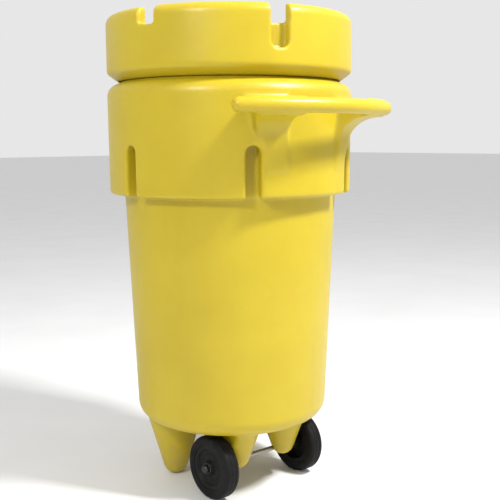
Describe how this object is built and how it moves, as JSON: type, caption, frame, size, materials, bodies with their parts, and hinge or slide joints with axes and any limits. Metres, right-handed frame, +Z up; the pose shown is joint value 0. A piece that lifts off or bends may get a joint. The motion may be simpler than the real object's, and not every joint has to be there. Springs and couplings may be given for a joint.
{
  "type": "overpack salvage drum",
  "caption": "Wheeled polyethylene overpack drum with a screw-on castellated lid, slotted skirt, moulded push handle, conical feet and an axle with two wheels.",
  "frame": {"origin": "middle of the footprint on the ground, halfway between the skirt's front and the handle bar's outer edge, so the drum's own axis is at y = -0.0515", "axes": "+Z up; +Y towards the handle and the wheels; +X along the axle, so the wheel named left is at +X"},
  "size_m": [0.62, 0.7221, 1.197],
  "materials": {
    "yellow_polyethylene": "satin rotomoulded skin with a fine grain",
    "gasket_foam": "closed-cell foam",
    "axle_steel": "dull plated steel",
    "tyre_rubber": "matt solid rubber",
    "hub_plastic": "matt black moulding",
    "bush_nylon": "smooth grey moulding"
  },
  "bodies": {
    "drum": {"drum_shell": "yellow_polyethylene", "axle": "axle_steel", "left_washer_inner": "axle_steel", "left_washer_outer": "axle_steel", "left_push_nut": "axle_steel", "right_washer_inner": "axle_steel", "right_washer_outer": "axle_steel", "right_push_nut": "axle_steel"},
    "gasket": {"lid_gasket": "gasket_foam"},
    "lid": {"lid_shell": "yellow_polyethylene"},
    "wheel_left": {"left_tyre": "tyre_rubber", "left_hub": "hub_plastic", "left_bush_inner": "bush_nylon", "left_bush_outer": "bush_nylon"},
    "wheel_right": {"right_tyre": "tyre_rubber", "right_hub": "hub_plastic", "right_bush_inner": "bush_nylon", "right_bush_outer": "bush_nylon"}
  },
  "joints": [
    {"name": "lid_lift", "type": "slide", "parent": "drum", "child": "gasket", "axis": [0, 0, 1], "range_m": [0, 0.09]},
    {"name": "lid_turn", "type": "hinge", "parent": "gasket", "child": "lid", "pos_m": [0, -0.0515, 1.08], "axis": [0, 0, 1], "range_deg": [0, 1008]},
    {"name": "wheel_left_spin", "type": "hinge", "parent": "drum", "child": "wheel_left", "pos_m": [0.14525, 0.0485, 0.08], "axis": [1, 0, 0], "continuous": true},
    {"name": "wheel_right_spin", "type": "hinge", "parent": "drum", "child": "wheel_right", "pos_m": [-0.14525, 0.0485, 0.08], "axis": [1, 0, 0], "continuous": true}
  ],
  "couplings": [
    {"joint": "lid_lift", "follows": "lid_turn", "m_per_rad": 0.005093}
  ]
}
